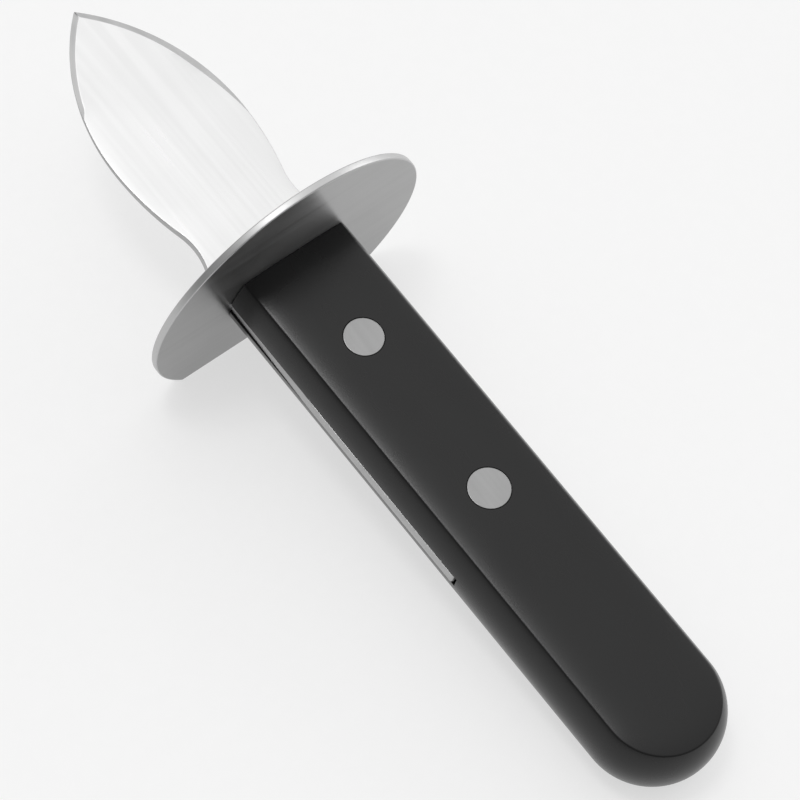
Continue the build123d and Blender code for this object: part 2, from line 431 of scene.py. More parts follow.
def make_piece(name, patches, materials, sharp_angle=SHARP_ANGLE):
    """A mesh object from patches of points on grids, in the knife's axes.

    A patch is an array (rows, columns, 3), or a pair of one and the material of each of its
    quads. Corners that lie in one place are joined, which closes seams and poles.
    """
    points, quads, kinds = [], [], []
    count = 0
    for patch in patches:
        patch, kind = patch if isinstance(patch, tuple) else (patch, 0)
        rows, columns = patch.shape[:2]
        index = count + np.arange(rows * columns).reshape(rows, columns)
        corners = [index[:-1, :-1], index[1:, :-1], index[1:, 1:], index[:-1, 1:]]
        quads.append(np.stack(corners, axis=-1).reshape(-1, 4))
        kinds.append(np.broadcast_to(kind, (rows - 1, columns - 1)).ravel())
        points.append(patch.reshape(-1, 3))
        count += rows * columns
    mesh = bpy.data.meshes.new(name)
    mesh.from_pydata(to_frame(np.concatenate(points)), [], np.concatenate(quads))
    mesh.polygons.foreach_set("material_index", np.concatenate(kinds).astype(np.int32))
    joined = bmesh.new()
    joined.from_mesh(mesh)
    bmesh.ops.remove_doubles(joined, verts=joined.verts, dist=WELD_DISTANCE)
    bmesh.ops.recalc_face_normals(joined, faces=joined.faces)
    joined.to_mesh(mesh)
    joined.free()
    mesh.shade_smooth()
    mesh.set_sharp_from_angle(angle=sharp_angle)
    for material in materials:
        mesh.materials.append(material)
    return add_object(name, mesh)


def stand_for(piece, node):
    """The piece rides on the knife and stands for the solid, which is hidden."""
    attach(piece, "root")
    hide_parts(node)


class Leaf:
    """Outline and thickness of the leaf, worked out from the blade's settings."""

    def __init__(self, shape):
        self.shape = shape
        self.shoulder = GUARD_THICKNESS + shape.shoulder_length
        self.half_width = shape.leaf_width / 2
        self.neck_half_width = self.half_width - shape.neck_draw
        draw = SHOULDER_HALF_WIDTH - self.neck_half_width
        self.neck = self.shoulder + other_leg(shape.neck_radius, shape.neck_radius - draw)
        self.widest = self.neck + shape.swell_length
        self.swell_radius = arc_radius(shape.swell_length, shape.neck_draw) - shape.neck_radius
        reach = self.swell_radius + shape.neck_radius
        self.meeting = self.neck + shape.swell_length * shape.neck_radius / reach
        self.point_radius = arc_radius(shape.point_length, self.half_width)
        self.point_centre = self.half_width - self.point_radius
        tip_reach = self.point_radius - shape.tip_radius
        tip_run = other_leg(tip_reach, self.point_centre)
        self.tip_start_turn = math.asin(tip_run / tip_reach)
        self.tip_centre = self.widest + tip_run
        self.bevel_slope = math.tan(shape.bevel_angle)

    def stations(self):
        """Places along the leaf, closer together where its outline turns."""
        turn = np.linspace(self.tip_start_turn, math.pi / 2, TIP_POINTS)
        tip = self.tip_centre + self.shape.tip_radius * np.sin(turn)
        ends = [GUARD_THICKNESS, self.shoulder, self.neck, self.widest, tip[0]]
        stretches = map(np.linspace, ends, ends[1:], LEAF_POINTS)
        return np.concatenate([*(stretch[:-1] for stretch in stretches), tip])

    def edge(self, x):
        """Half width: straight shoulder, hollow neck, swell, point and rounded tip, all arcs."""
        neck_radius, tip_radius = self.shape.neck_radius, self.shape.tip_radius
        past_widest = x - self.widest
        neck = self.neck_half_width + neck_radius - other_leg(neck_radius, x - self.neck)
        swell = self.half_width - self.swell_radius + other_leg(self.swell_radius, past_widest)
        point = self.point_centre + other_leg(self.point_radius, past_widest)
        tip = other_leg(tip_radius, x - self.tip_centre)
        tip_start = self.tip_centre + tip_radius * math.sin(self.tip_start_turn)
        stretches = [x < self.shoulder, x < self.meeting, x < self.widest, x <= tip_start]
        return np.select(stretches, [SHOULDER_HALF_WIDTH, neck, swell, point], tip)

    def half_thickness(self, x):
        """A parabola through the half thickness at the guard, the middle and the tip."""
        share = (x - GUARD_THICKNESS) / (TIP_PLACE - GUARD_THICKNESS)
        middle = self.shape.middle_thickness / 2
        tip = self.shape.tip_thickness / 2
        bend = 2 * (TANG_HALF_THICKNESS + tip - 2 * middle)
        slope = tip - TANG_HALF_THICKNESS - bend
        return TANG_HALF_THICKNESS + slope * share + bend * share**2

    def polished(self, x):
        """How far the face is polished: from 0 at the guard, smoothly, to 1 at the neck."""
        return smooth_step(GUARD_THICKNESS, self.neck, x)

    def face(self, x, across, border_drop=0.0):
        """Height of the upper face, which falls with the square of the way across it."""
        crown = self.shape.crown * (across / self.edge(x).max()) ** 2
        return self.half_thickness(x) - self.polished(x) * (crown + border_drop)

    def bevel(self, x, length, run_out, fade):
        """How fully a bevel is ground, from 0 to 1, the height of its edge, and its width.

        Where it runs out, its edge rises to the face, and its fade is the share of its depth
        that it has lost there. Its width is its fall from the face divided by its slope.
        """
        start = self.widest + self.shape.point_length - length
        ground = smooth_step(start, start + run_out, x)
        lost = fade * (1 - np.clip((x - start) / length, 0, 1))
        plate = self.half_thickness(x)
        edge_height = plate + ground * (1 - lost) * (self.shape.bevel_edge / 2 - plate)
        width = np.zeros_like(x)
        for _ in range(BEVEL_ROUNDS):
            inner_height = self.face(x, np.maximum(self.edge(x) - width, 0))
            width = (inner_height - edge_height) / self.bevel_slope
        return ground, edge_height, width

    def side(self, name, x):
        """The upper face on the left or right: its columns' places and heights, and its bevel.

        The columns run to the border, to the bevel's line, over the bevel and round the edge.
        The border falls with the square of the way over it, the bevel with the distance to the
        edge, and the edge is a quarter round.
        """
        shape = self.shape
        bevel_length, run_out, fade, roll_width, roll_drop = (
            getattr(shape, f"{name}_{size}")
            for size in ("bevel", "run_out", "fade", "roll_width", "roll_drop")
        )
        edge = self.edge(x)
        ground, edge_height, width = self.bevel(x, bevel_length, run_out, fade)
        inner_arc = self.point_centre + other_leg(self.point_radius - width, x - self.widest)
        bevel_line = np.where(x < self.widest, edge - width, np.minimum(inner_arc, edge))
        rounding_change = shape.ground_edge_rounding - shape.edge_rounding
        rounding = shape.edge_rounding + ground * rounding_change
        rim = np.maximum(edge - rounding, 0)
        line = np.clip(bevel_line, 0, rim)
        shoulder_band = SHOULDER_HALF_WIDTH - HANDLE_HALF_WIDTH + shape.tang_relief
        band = shoulder_band + (roll_width - shoulder_band) * self.polished(x)
        border = np.clip(edge - np.maximum(band, width), 0, line)
        lines = [np.zeros_like(x), border, line, rim]
        counts = (HALF_COLUMNS, BORDER_COLUMNS, BEVEL_COLUMNS)
        across = [
            first + (last - first) * np.linspace(0, 1, count)[1:]
            for first, last, count in zip(lines, lines[1:], counts)
        ]
        across = np.concatenate([lines[0], *across], axis=1)

        into_roll = np.clip(1 - (edge - across) / roll_width, 0, 1)
        face = self.face(x, across, (1 - ground) * roll_drop * into_roll**2)
        from_centre = np.hypot(x - self.widest, across - self.point_centre)
        to_edge = np.where(x < self.widest, edge - across, self.point_radius - from_centre)
        fall = edge_height + self.bevel_slope * to_edge
        past_line = np.arange(across.shape[1]) >= HALF_COLUMNS + BORDER_COLUMNS - 2
        bevelled = (ground > 0) & past_line
        height = np.where(bevelled, np.minimum(fall, face), face)
        turn = quarter(EDGE_POINTS)[1:]
        round_across = rim + (edge - rim) * np.sin(turn)
        round_height = height[:, -1:] - rounding * (1 - np.cos(turn))
        across = np.concatenate([across, round_across], axis=1)
        height = np.concatenate([height, round_height], axis=1)
        bevelled = np.concatenate([bevelled, np.ones(round_across.shape, bool)], axis=1)
        return across, height, bevelled


def leaf_patches(shape):
    """The leaf's skin as one tube along its stations, and its shoulders' rear faces.

    The tube's upper half is both sides in one row, and its lower half is their mirror image.
    """
    leaf = Leaf(shape)
    x = leaf.stations()[:, None]
    right_across, *right = leaf.side("right", x)
    left_across, *left = leaf.side("left", x)

    def joined(right_side, left_side):
        """Both sides in one row, from the right edge to the left, with one middle column."""
        return np.concatenate([right_side[:, :0:-1], left_side], axis=1)

    def closed(upper, lower):
        """The upper half, the lower one on its way back, and the first column once more."""
        return np.concatenate([upper, lower[:, ::-1], upper[:, :1]], axis=1)

    height, bevelled = map(joined, right, left)
    upper = grid(x, joined(-right_across, left_across), height)
    lower = flipped(upper)
    bevelled = closed(bevelled, bevelled)
    kinds = (bevelled[:-1, :-1] & bevelled[:-1, 1:]).astype(int)
    border = left_across.shape[1] - HALF_COLUMNS
    ends = (slice(border + 1), slice(-border - 1, None))
    shoulders = [np.stack([upper[0, end], lower[0, end]]) for end in ends]
    return [(closed(upper, lower), kinds), *shoulders]


def tang_patches(shape, hole_radius):
    """The tang's faces with their rivet holes, its two edges and its rear end.

    Its half width grows evenly from the guard until it is flush, and its rear corners are
    quarter rounds.
    """
    corner = shape.tang_corner
    corner_start = corner - TANG_END
    x, blocks = hole_stations(0.0, corner_start)
    rounded = corner_start - corner * np.sin(quarter(ROUND_POINTS)[1:])
    x = np.concatenate([[GUARD_THICKNESS], x, rounded])
    blocks = [slice(block.start + 1, block.stop + 1) for block in blocks]
    short_of_flush = 1 - np.clip(-x / shape.tang_taper, 0, 1)
    into_corner = np.clip(corner_start - x, 0, corner)
    half_width = HANDLE_HALF_WIDTH - shape.tang_relief * short_of_flush
    half_width -= corner - other_leg(corner, into_corner)
    across = half_width[:, None] * np.linspace(-1, 1, HOLE_STEPS + 1)
    upper = grid(x[:, None], across, TANG_HALF_THICKNESS)
    rims = [(hole_radius, TANG_HALF_THICKNESS), (hole_radius, -TANG_HALF_THICKNESS)]
    walls = [hole_wall(place, rims) for place in RIVET_PLACES]
    faces = pierced(upper, slice(0, HOLE_STEPS + 1), blocks, [wall[0] for wall in walls])
    outline = (upper[:, 0], upper[:, -1], upper[-1])
    edges = [(blend_rows(side, flipped(side)), 1) for side in outline]
    return [*faces, *map(flipped, faces), *walls, *edges]


def handle_top(shape, out):
    """Height of the handle's broad face, which falls with a power of the way over its border."""
    flat = HANDLE_HALF_WIDTH - shape.side_draw - shape.roll_off_width
    share = np.maximum((np.abs(out) - flat) / shape.roll_off_width, 0)
    return HANDLE_HALF_THICKNESS - shape.roll_off_drop * share**shape.roll_off_power


def handle_section(shape, lip_height):
    """Half of the upper section, from the middle of the face to the slot's lip, as (out, up).

    The crease is an arc that touches both the face's border and the side: its centre lies its
    own radius inside the border, at the place where it is also that far inside the side's arc.
    Also the side's centre and radius.
    """
    drop, width, power = shape.roll_off_drop, shape.roll_off_width, shape.roll_off_power
    flat = HANDLE_HALF_WIDTH - shape.side_draw - width
    side_radius = arc_radius(HANDLE_HALF_THICKNESS - drop, shape.side_draw)
    side_centre = np.array([HANDLE_HALF_WIDTH - side_radius, 0.0])
    radius = shape.crease_rounding

    def roll_off(share):
        """Points over the border, and the turn from straight out of each to straight up."""
        out = flat + width * share
        steepness = power * drop / width * share ** (power - 1)
        return np.stack([out, handle_top(shape, out)], axis=-1), np.arctan2(1.0, steepness)

    point, turn = roll_off(CREASE_SEARCH)
    inside = point - radius * heading(turn)
    short_of_side = np.hypot(*(inside - side_centre).T) - (side_radius - radius)
    last_share = np.interp(0.0, short_of_side, CREASE_SEARCH)
    first_share = max(0.0, (HOLE_CELL_WIDTH / 2 - flat) / width)
    points, turns = roll_off(np.linspace(first_share, last_share, ROLL_OFF_POINTS))
    crease = points[-1] - radius * heading(turns[-1])
    side_start = math.atan2(*(crease - side_centre)[::-1])
    lip = math.asin(lip_height / side_radius)
    middle = np.linspace(0, points[0, 0], HALF_COLUMNS)
    stretches = [
        np.stack([middle, handle_top(shape, middle)], axis=1),
        points[1:],
        arc(crease, radius, turns[-1], side_start, CREASE_POINTS)[1:],
        arc(side_centre, side_radius, side_start, lip, SIDE_POINTS)[1:],
    ]
    return np.concatenate(stretches), side_centre[0], side_radius


def drawn_in(columns, depth):
    """The section's points moved inwards by a depth, square to the section at each point."""
    along = np.gradient(columns, axis=0)
    along /= np.hypot(*along.T)[:, None]
    return columns + depth * np.stack([along[:, 1], -along[:, 0]], axis=1)


def handle_patches(shape, rivets):
    """The handle's skin: two forks beside the slot, the solid rear and the half-round butt.

    Forks and rear are the section carried along the knife. The front edge is the section drawn
    in along a quarter round, and the butt is half the section turned about an upright line.
    """
    lip_height = TANG_HALF_THICKNESS + shape.slot_fit
    slot_end = -TANG_END - shape.slot_end_gap
    section, side_centre, side_radius = handle_section(shape, lip_height)
    columns = np.concatenate([section[:0:-1] * (-1, 1), section])
    flat, lip_out = section[HALF_COLUMNS - 1, 0], section[-1, 0]
    border = len(section) - HALF_COLUMNS
    roof_half = [section[:HALF_COLUMNS, 0], np.linspace(flat, lip_out, border + 1)[1:]]
    roof_half = np.concatenate(roof_half)
    roof_columns = np.concatenate([-roof_half[:0:-1], roof_half])
    middle = slice(border, border + 2 * HALF_COLUMNS - 1)
    x, blocks = hole_stations(-shape.front_rounding, slot_end)
    rear_x = np.linspace(slot_end, -BUTT_PLACE, REAR_POINTS)[:, None]

    def front_rows(turn):
        """The rounded front edge's row at a turn, and the slot roof's row that meets its ends."""
        place = -shape.front_rounding * (1 - math.cos(turn))
        row = drawn_in(columns, shape.front_rounding * (1 - math.sin(turn)))
        row[[0, -1], 1] = lip_height
        roof_row = np.clip(roof_columns, row[0, 0], row[-1, 0])
        return grid(place, *row.T), grid(place, roof_row, lip_height)

    def seat_wall(place, head_radius):
        """Rings from the chamfer of a rivet's seat, down its wall and floor, to the slot."""
        seat = head_radius + rivets.fit
        bore = rivets.tube_diameter / 2 + rivets.fit
        seat_floor = HANDLE_HALF_THICKNESS - rivets.head_thickness
        steps = [
            (seat + shape.seat_chamfer, HANDLE_HALF_THICKNESS),
            (seat, HANDLE_HALF_THICKNESS - shape.seat_chamfer),
            (seat, seat_floor),
            (bore, seat_floor),
            (bore, lip_height),
        ]
        wall = hole_wall(place, steps)
        wall[0, :, 2] = handle_top(shape, wall[0, :, 1])
        return wall

    fork = grid(x[:, None], *columns.T)
    roof = grid(x[:, None], roof_columns, lip_height)
    walls = list(map(seat_wall, RIVET_PLACES, HEAD_RADII))
    front, front_roof = map(np.array, zip(*map(front_rows, quarter(ROUND_POINTS))))
    upper = [
        *pierced(fork, middle, blocks, [wall[0] for wall in walls]),
        *pierced(roof, middle, blocks, [wall[-1] for wall in walls]),
        *walls,
        front,
        front_roof,
        blend_rows(front[0], front_roof[0], FRONT_WALL_ROWS),
        grid(rear_x, *columns.T),
    ]
    lip = math.asin(lip_height / side_radius)
    band = arc((side_centre, 0.0), side_radius, lip, -lip, BAND_POINTS)
    bands = [grid(rear_x, side * band[:, 0], band[:, 1]) for side in (1, -1)]
    slot_wall = grid(slot_end, roof_columns * (band[:, :1] / band[0, 0]), band[:, 1:])
    profile = np.concatenate([section, band[1:], (section * (1, -1))[-2::-1]])
    out, height = profile.T
    turn = np.linspace(0, math.pi, BUTT_POINTS)[:, None]
    butt = grid(-BUTT_PLACE - out * np.sin(turn), out * np.cos(turn), height)
    return [*upper, *map(flipped, upper), *bands, slot_wall, butt]


def guard_outline(inset):
    """The disc's outline drawn in by inset: arcs right, over the top and left, and the flat."""
    radius = GUARD_RADIUS - inset
    drop = GUARD_FLAT_DROP - inset
    corner = math.asin(drop / radius)
    half = radius * math.cos(corner)
    turns = [-corner, math.pi / 4, 3 * math.pi / 4, math.pi + corner]
    arcs = [arc((0, 0), radius, *ends, GUARD_SIDE_POINTS)[:-1] for ends in zip(turns, turns[1:])]
    return np.concatenate([*arcs, np.linspace((-half, -drop), (half, -drop), GUARD_SIDE_POINTS)])


def guard_patches(shape, slot_half_width, slot_half_height):
    """The guard as one ring of rows: the slot's edge, the face, the rim, the other face.

    A ring of the face is slot + share * (outline - slot), and the rim's are the outline drawn
    in along a quarter round.
    """
    corners = np.array([(1, -1), (1, 1), (-1, 1), (-1, -1), (1, -1)])
    corners = corners * (slot_half_width, slot_half_height)
    sides = map(np.linspace, corners, corners[1:], [GUARD_SIDE_POINTS] * 4)
    slot = np.concatenate([*(side[:-1] for side in sides), corners[:1]])
    outline = guard_outline(shape.rim_rounding)
    rows = [grid(0.0, *(slot + share * (outline - slot)).T) for share in GUARD_RINGS]
    for turn in quarter(ROUND_POINTS)[1:]:
        inset, place = shape.rim_rounding * (1 - np.array([math.sin(turn), math.cos(turn)]))
        rows.append(grid(place, *guard_outline(inset).T))
    rear_half = np.array(rows)
    front_half = rear_half[::-1] * (-1, 1, 1) + (GUARD_THICKNESS, 0, 0)
    ring = np.concatenate([rear_half, front_half, rear_half[:1]])
    kinds = np.zeros((len(ring) - 1, 1), int)
    kinds[len(GUARD_RINGS) - 1 : 2 * len(rear_half) - len(GUARD_RINGS)] = 1
    return [(ring, kinds)]


def head_profile(radius, rounding, outer, inner):
    """A head from the middle of its face, over its rounded edge, to its inner edge."""
    side = math.copysign(1, outer)
    turn = quarter(ROUND_POINTS)
    insets = rounding * (1 - np.sin(turn))
    depths = side * rounding * (1 - np.cos(turn))
    level = [(0.0, outer), (radius / 2, outer), (radius - HEAD_RING * rounding, outer)]
    return [*level, *zip(radius - insets, outer - depths), (radius, inner)]


def pin_profile(shape, head_radius):
    """The half with its head on the upper face: head, pin and the pin's chamfered end."""
    floor = HANDLE_HALF_THICKNESS - shape.head_thickness
    end = shape.pin_end_gap - floor
    pin_radius = shape.pin_diameter / 2
    chamfer = 2 * shape.head_rounding
    return [
        *head_profile(head_radius, shape.head_rounding, HANDLE_HALF_THICKNESS, floor),
        (pin_radius, floor),
        (pin_radius, end + chamfer),
        (pin_radius - chamfer, end),
        (0.0, end),
    ]


def tube_profile(shape, head_radius):
    """The half with its head on the lower face: head, tube and the tube's bore."""
    floor = HANDLE_HALF_THICKNESS - shape.head_thickness
    bore_radius = shape.pin_diameter / 2 + shape.fit
    tube_radius = shape.tube_diameter / 2
    return [
        *head_profile(head_radius, shape.head_rounding, -HANDLE_HALF_THICKNESS, -floor),
        (tube_radius, -floor),
        (tube_radius, floor),
        (bore_radius, floor),
        (bore_radius, -floor),
        (0.0, -floor),
    ]


WHITE = (1, 1, 1, 1)
GRAIN_MAP = "grain"
EDGE_ATTRIBUTE = "edge"

# How each steel is brushed: its grain's waves to the metre along the knife's axes, how much
# lighter and darker its lines are, and how deep. Lines run the way that has the fewest waves.
BRUSHING = {
    "leaf": ((25, 1300, 1300), 0.02, 0.0005 * MM),
    "bevel": ((300, 900, 900), 0.06, 0.003 * MM),
    "guard": ((700, 40, 900), 0.05, 0.0005 * MM),
    "rim": ((900, 300, 300), 0.02, 0.0005 * MM),
    "rivet": ((150, 1500, 1500), 0.03, 0.001 * MM),
}
# Streaks have this share of the fine grain's waves, and clouds so many to the metre
STREAK_SHARE = 0.4
STEEL_CLOUDS = (90, 90, 90)
STEEL_CLOUD_CONTRAST = 0.01
STEEL_GLOSS_CHANGE = 0.02
# How far reflections are turned off the grain map's first direction, in whole turns
DRAW_TURN = 0.25

# The plastic's grain, waves and clouds, in waves to the metre along the knife's axes
PLASTIC_IOR = 1.46
PLASTIC_GRAIN = (4200, 4200, 4200)
PLASTIC_GRAIN_CONTRAST = 0.15
PLASTIC_GRAIN_DEPTH = 0.006 * MM
PLASTIC_WAVES = (260, 520, 520)
PLASTIC_WAVE_DEPTH = 0.004 * MM
PLASTIC_CLOUDS = (70, 140, 140)
PLASTIC_GLOSS_CHANGE = 0.03
# How near the crease wear reaches, and how much lighter and rougher it makes the plastic
WEAR_REACH = 0.8 * MM
WORN_LIGHTER = 0.8
WORN_ROUGHER = 0.05

FLOOR_SPECKLE = (400, 400, 400)
FLOOR_CONTRAST = 0.01
FLOOR_ROUGHNESS = 0.9

# Where a noise, the sum of two, and the noise in the wear mostly lie
ONE_NOISE = (0.3, 0.7)
TWO_NOISES = (0.7, 1.3)
WEAR_NOISE = (0.3, 0.8)


def about(middle, change):
    """From a change below the middle to as much above it."""
    return middle - change, middle + change


class NodeTree:
    """Short ways to add nodes to a tree and to fill their sockets."""

    def __init__(self, tree):
        self.nodes, self.links = tree.nodes, tree.links

    def feed(self, socket, value):
        """Link the socket where the value is a node's output, and set it otherwise."""
        if isinstance(value, bpy.types.NodeSocket):
            self.links.new(value, socket)
        else:
            socket.default_value = value

    def fill(self, node, **values):
        """Feed the node's sockets by name."""
        for name, value in values.items():
            self.feed(node.inputs[name.replace("_", " ")], value)
        return node

    def add(self, kind, **values):
        """A new node with its sockets filled."""
        return self.fill(self.nodes.new(kind), **values)

    def calculate(self, operation, *values, kind="ShaderNodeMath"):
        """Values joined by a sum, a product or the like."""
        node = self.nodes.new(kind)
        node.operation = operation
        for socket, value in zip(node.inputs, values):
            self.feed(socket, value)
        return node.outputs["Value"]


class Finish(NodeTree):
    """A procedural material whose patterns lie along the knife's axes."""

    def __init__(self, name, base, roughness, metallic=0.0):
        self.material = bpy.data.materials.new(name)
        self.material.use_nodes = True
        super().__init__(self.material.node_tree)
        self.shader = self.fill(self.nodes["Principled BSDF"], Metallic=metallic)
        self.base = (*base, 1.0)
        self.roughness = roughness
        self.relief = None
        place = self.add("ShaderNodeTexCoord").outputs["Object"]
        turned = self.add("ShaderNodeMapping", Vector=place, Rotation=(0, KNIFE_TILT, 0))
        self.along_knife = turned.outputs[0]

    def noise(self, stretch, detail=2.0):
        """Noise with stretch waves to the metre along each of the knife's axes, about 0 to 1."""
        place = self.add("ShaderNodeMapping", Vector=self.along_knife, Scale=stretch).outputs[0]
        noise = self.add("ShaderNodeTexNoise", Vector=place, Scale=1.0, Detail=detail)
        return noise.outputs["Fac"]

    def remap(self, value, span, to_span):
        """The value's span, stretched to another span and held there."""
        ends = dict(zip(("From_Min", "From_Max", "To_Min", "To_Max"), (*span, *to_span)))
        return self.add("ShaderNodeMapRange", Value=value, **ends).outputs[0]

    def shade(self, value):
        """The base colour made lighter or darker by a factor about 1."""
        tint = self.add("ShaderNodeHueSaturation", Color=self.base, Value=value)
        self.fill(self.shader, Base_Color=tint.outputs[0])

    def roughen(self, *changes):
        """The roughness with two changes added."""
        change = self.calculate("ADD", *changes)
        self.fill(self.shader, Roughness=self.calculate("ADD", change, self.roughness))

    def bump(self, height, depth):
        """Relief of a depth in metres, on top of what relief there is."""
        node = self.add("ShaderNodeBump", Height=height, Distance=depth, Strength=1.0)
        if self.relief is not None:
            self.fill(node, Normal=self.relief)
        self.relief = node.outputs[0]
        self.fill(self.shader, Normal=self.relief)


def brushed_steel(name, draw=0.0):
    """Steel with a grain: fine lines, longer and broader streaks, and cloudy patches.

    With a draw, reflections are drawn out at a right angle to the grain map's first direction.
    """
    looks = settings().finishes
    base, roughness = (getattr(looks, f"{name}_{look}") for look in ("colour", "roughness"))
    grain, contrast, depth = BRUSHING[name]
    finish = Finish(f"{name}_steel", base, roughness, metallic=1.0)
    if draw > 0:
        tangent = finish.add("ShaderNodeTangent")
        tangent.direction_type = "UV_MAP"
        tangent.uv_map = GRAIN_MAP
        finish.fill(
            finish.shader,
            Anisotropic=draw,
            Anisotropic_Rotation=DRAW_TURN,
            Tangent=tangent.outputs[0],
        )
    fine = finish.noise(grain, detail=0.0)
    streaks = finish.noise([STREAK_SHARE * waves for waves in grain])
    clouds = finish.noise(STEEL_CLOUDS)
    lines = finish.calculate("ADD", fine, streaks)
    finish.shade(
        finish.calculate(
            "MULTIPLY",
            finish.remap(lines, TWO_NOISES, about(1, contrast)),
            finish.remap(clouds, ONE_NOISE, about(1, STEEL_CLOUD_CONTRAST)),
        )
    )
    finish.roughen(
        finish.remap(lines, TWO_NOISES, about(0, STEEL_GLOSS_CHANGE)),
        finish.remap(clouds, ONE_NOISE, about(0, STEEL_GLOSS_CHANGE)),
    )
    finish.bump(fine, depth)
    return finish.material


def handle_plastic():
    """Black moulded plastic: a fine even grain, cloudy gloss, and a trace of wear on its edges."""
    looks = settings().finishes
    finish = Finish("handle_plastic", looks.handle_colour, looks.handle_roughness)
    finish.fill(finish.shader, IOR=PLASTIC_IOR)
    grain = finish.noise(PLASTIC_GRAIN)
    clouds = finish.noise(PLASTIC_CLOUDS, detail=3.0)
    edge = finish.add("ShaderNodeAttribute")
    edge.attribute_name = EDGE_ATTRIBUTE
    wear = finish.calculate("MULTIPLY", edge.outputs["Fac"], clouds)
    finish.shade(
        finish.calculate(
            "ADD",
            finish.remap(grain, ONE_NOISE, about(1, PLASTIC_GRAIN_CONTRAST)),
            finish.remap(wear, WEAR_NOISE, (0, WORN_LIGHTER)),
        )
    )
    finish.roughen(
        finish.remap(clouds, ONE_NOISE, about(0, PLASTIC_GLOSS_CHANGE)),
        finish.remap(wear, WEAR_NOISE, (0, WORN_ROUGHER)),
    )
    finish.bump(finish.noise(PLASTIC_WAVES), PLASTIC_WAVE_DEPTH)
    finish.bump(grain, PLASTIC_GRAIN_DEPTH)
    return finish.material


def mark_edges(piece):
    """Keep on each point how near it lies to the handle's crease: 1 on it, 0 past the reach."""
    shape = settings().handle
    along, across, up = (mesh_points(piece.data) - KNIFE_ORIGIN).T
    out = np.hypot(np.minimum(along + BUTT_PLACE, 0), across)
    from_crease = np.hypot(
        out - (HANDLE_HALF_WIDTH - shape.side_draw),
        np.abs(up) - (HANDLE_HALF_THICKNESS - shape.roll_off_drop),
    )
    edge = piece.data.attributes.new(EDGE_ATTRIBUTE, "FLOAT", "POINT")
    edge.data.foreach_set("value", np.clip(1 - from_crease / WEAR_REACH, 0, 1))


def map_grain(piece):
    """A map of the guard's faces: first across the knife, then up and along together."""
    mesh = piece.data
    corners = np.empty(len(mesh.loops), np.int32)
    mesh.loops.foreach_get("vertex_index", corners)
    along, across, up = mesh_points(mesh)[corners].T
    grain = mesh.uv_layers.new(name=GRAIN_MAP)
    grain.data.foreach_set("uv", np.stack([across, up + along], axis=1).ravel())


def pale_floor(looks):
    """A white floor with a faint speckle.

    What the camera, a reflection or glass sees is partly the floor's own white and partly its
    lit surface, which keeps the object's shadow. All other light meets the lit surface alone.
    """
    finish = Finish("pale_floor", looks.floor_colour, FLOOR_ROUGHNESS)
    speckle = finish.noise(FLOOR_SPECKLE)
    finish.shade(finish.remap(speckle, ONE_NOISE, about(1, FLOOR_CONTRAST)))
    path = finish.add("ShaderNodeLightPath").outputs
    mirrored = finish.calculate("MAXIMUM", path["Is Glossy Ray"], path["Is Transmission Ray"])
    seen = finish.calculate("MAXIMUM", path["Is Camera Ray"], mirrored)
    share = finish.calculate("MULTIPLY", seen, looks.floor_glow)
    glow = finish.add("ShaderNodeEmission", Color=WHITE, Strength=1.0)
    blend = finish.add("ShaderNodeMixShader", Fac=share)
    finish.feed(blend.inputs[1], finish.shader.outputs[0])
    finish.feed(blend.inputs[2], glow.outputs[0])
    finish.fill(finish.nodes["Material Output"], Surface=blend.outputs[0])
    return finish.material


def studio_sky(looks):
    """A white tent with a soft glow round the key lamp.

    Brightness is a base plus a gain times the dot product of the direction and the brightest
    direction, never less than its least. The glow adds a power of the dot product of the
    direction and the key lamp's.
    """
    world = bpy.data.worlds.new("white_tent")
    world.use_nodes = True
    sky = NodeTree(world.node_tree)
    outward = sky.add("ShaderNodeTexCoord").outputs["Generated"]

    def facing(towards):
        """How nearly a direction in the frame's axes is the one looked in: their dot product."""
        towards = Vector(towards).normalized()
        return sky.calculate("DOT_PRODUCT", outward, towards, kind="ShaderNodeVectorMath")

    brightest = facing(looks.sky_direction)
    tent = sky.calculate("MULTIPLY_ADD", brightest, looks.sky_gain, looks.sky_base)
    tent = sky.calculate("MAXIMUM", tent, looks.sky_least)
    near_key = sky.calculate("MAXIMUM", facing(np.array(looks.key_direction) @ KNIFE_AXES), 0.0)
    glow = sky.calculate("POWER", near_key, looks.glow_power)
    total = sky.calculate("MULTIPLY_ADD", glow, looks.glow_gain, tent)
    sky.fill(sky.nodes["Background"], Strength=total, Color=WHITE)
    bpy.context.scene.world = world


# Watts of a lamp for each unit of its brightness and square metre of its face
LAMP_POWER = 4


def add_lamp(name, looks):
    """A lamp aimed at the knife's middle, its sides along and across the knife."""
    towards, size_along, size_across, brightness = (
        getattr(looks, f"{name}_{value}")
        for value in ("direction", "length", "width", "brightness")
    )
    lamp = bpy.data.lights.new(name, "AREA")
    lamp.shape = "RECTANGLE"
    lamp.size, lamp.size_y = size_along, size_across
    lamp.energy = LAMP_POWER * brightness * size_along * size_across
    towards = Vector(np.array(towards) @ KNIFE_AXES).normalized()
    across = towards.cross(Vector(KNIFE_AXES[0])).normalized()
    axes = Matrix([across.cross(towards), across, towards]).transposed().to_4x4()
    place = Vector(np.mean(SOLID_BOX, axis=0)) + looks.lamp_distance * towards
    add_object(name, lamp, Matrix.Translation(place) @ axes)


# The camera's sensor in millimetres, and the nearest that it sees in metres
SENSOR_WIDTH = 36.0
NEAREST_SEEN = 0.01


